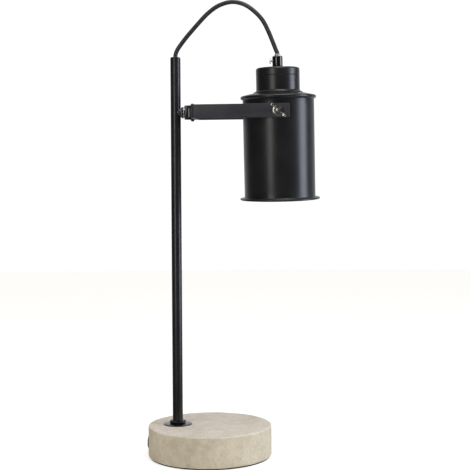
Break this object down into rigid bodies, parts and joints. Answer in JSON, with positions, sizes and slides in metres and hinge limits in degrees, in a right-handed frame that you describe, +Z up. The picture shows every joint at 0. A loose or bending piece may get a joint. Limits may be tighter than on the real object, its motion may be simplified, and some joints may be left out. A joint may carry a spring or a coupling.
{
  "type": "table lamp",
  "caption": "Table lamp with a concrete disc base, a thin pole, a U-shaped yoke on an upright hinge, and a cylindrical metal shade that tilts between wing nuts",
  "frame": {"origin": "centre of the underside of the base", "axes": "+Z up along the pole, +X from the pole towards the shade, +Y towards the far wing nut"},
  "size_m": [0.2123, 0.15, 0.5547],
  "materials": {
    "concrete": "matte cast concrete",
    "black_paint": "satin black powder coat",
    "rubber": "matte",
    "dark_steel": "blackened steel",
    "nickel": "bright nickel plate",
    "brass": "turned",
    "black_plastic": "moulded phenolic",
    "gloss_black": "glossy",
    "clear_plastic": "clear nylon",
    "ceramic": "glazed steatite",
    "bulb_glass": "opal",
    "cord": "matte PVC sheath"
  },
  "bodies": {
    "root": {"base_block": "concrete", "base_pad": "rubber", "cord_bushing": "rubber", "foot_plate": "black_paint", "foot_nut": "black_paint", "pole": "black_paint", "pole_washer": "nickel", "pole_lock_nut": "nickel", "pole_bush": "black_plastic", "pole_lead": "cord", "lead_terminal": "ceramic", "stud": "dark_steel", "saddle": "dark_steel", "stud_nut": "dark_steel", "stud_washer": "nickel", "fork": "black_paint", "hinge_pin": "dark_steel", "cord_rise": "cord"},
    "arm": {"yoke": "black_paint", "cord_fall": "cord"},
    "shade": {"shade": "black_paint", "neck_cup": "black_paint", "cord_grip": "gloss_black", "grip_collet": "clear_plastic", "grip_screw": "clear_plastic", "nipple": "brass", "nipple_nut": "brass", "head_lead": "cord", "holder_cap": "black_plastic", "holder_core": "ceramic", "holder_contacts": "brass", "holder_sleeve": "black_plastic", "shade_ring": "black_plastic", "bulb_cap": "nickel", "bulb_glass": "bulb_glass", "pivot_bolts": "nickel", "pivot_spacers": "black_paint", "clamp_washers": "nickel"},
    "wing_near": {"wing_nut_near": "nickel"},
    "wing_far": {"wing_nut_far": "nickel"}
  },
  "joints": [
    {"name": "arm_swing", "type": "hinge", "parent": "root", "child": "arm", "pos_m": [-0.0189, 0, 0.4185], "axis": [0, -0.1045, 0.9945], "range_deg": [-60, 60], "deforming": ["cord_rise"]},
    {"name": "shade_tilt", "type": "hinge", "parent": "arm", "child": "shade", "pos_m": [0.0861, 0, 0.4185], "axis": [0, 0.9945, 0.1045], "range_deg": [-75, 40], "deforming": ["cord_fall"]},
    {"name": "wing_near_turn", "type": "hinge", "parent": "shade", "child": "wing_near", "pos_m": [0.0861, 0, 0.4185], "axis": [0, -0.9945, -0.1045], "continuous": true},
    {"name": "wing_far_turn", "type": "hinge", "parent": "shade", "child": "wing_far", "pos_m": [0.0861, 0, 0.4185], "axis": [0, 0.9945, 0.1045], "continuous": true}
  ]
}
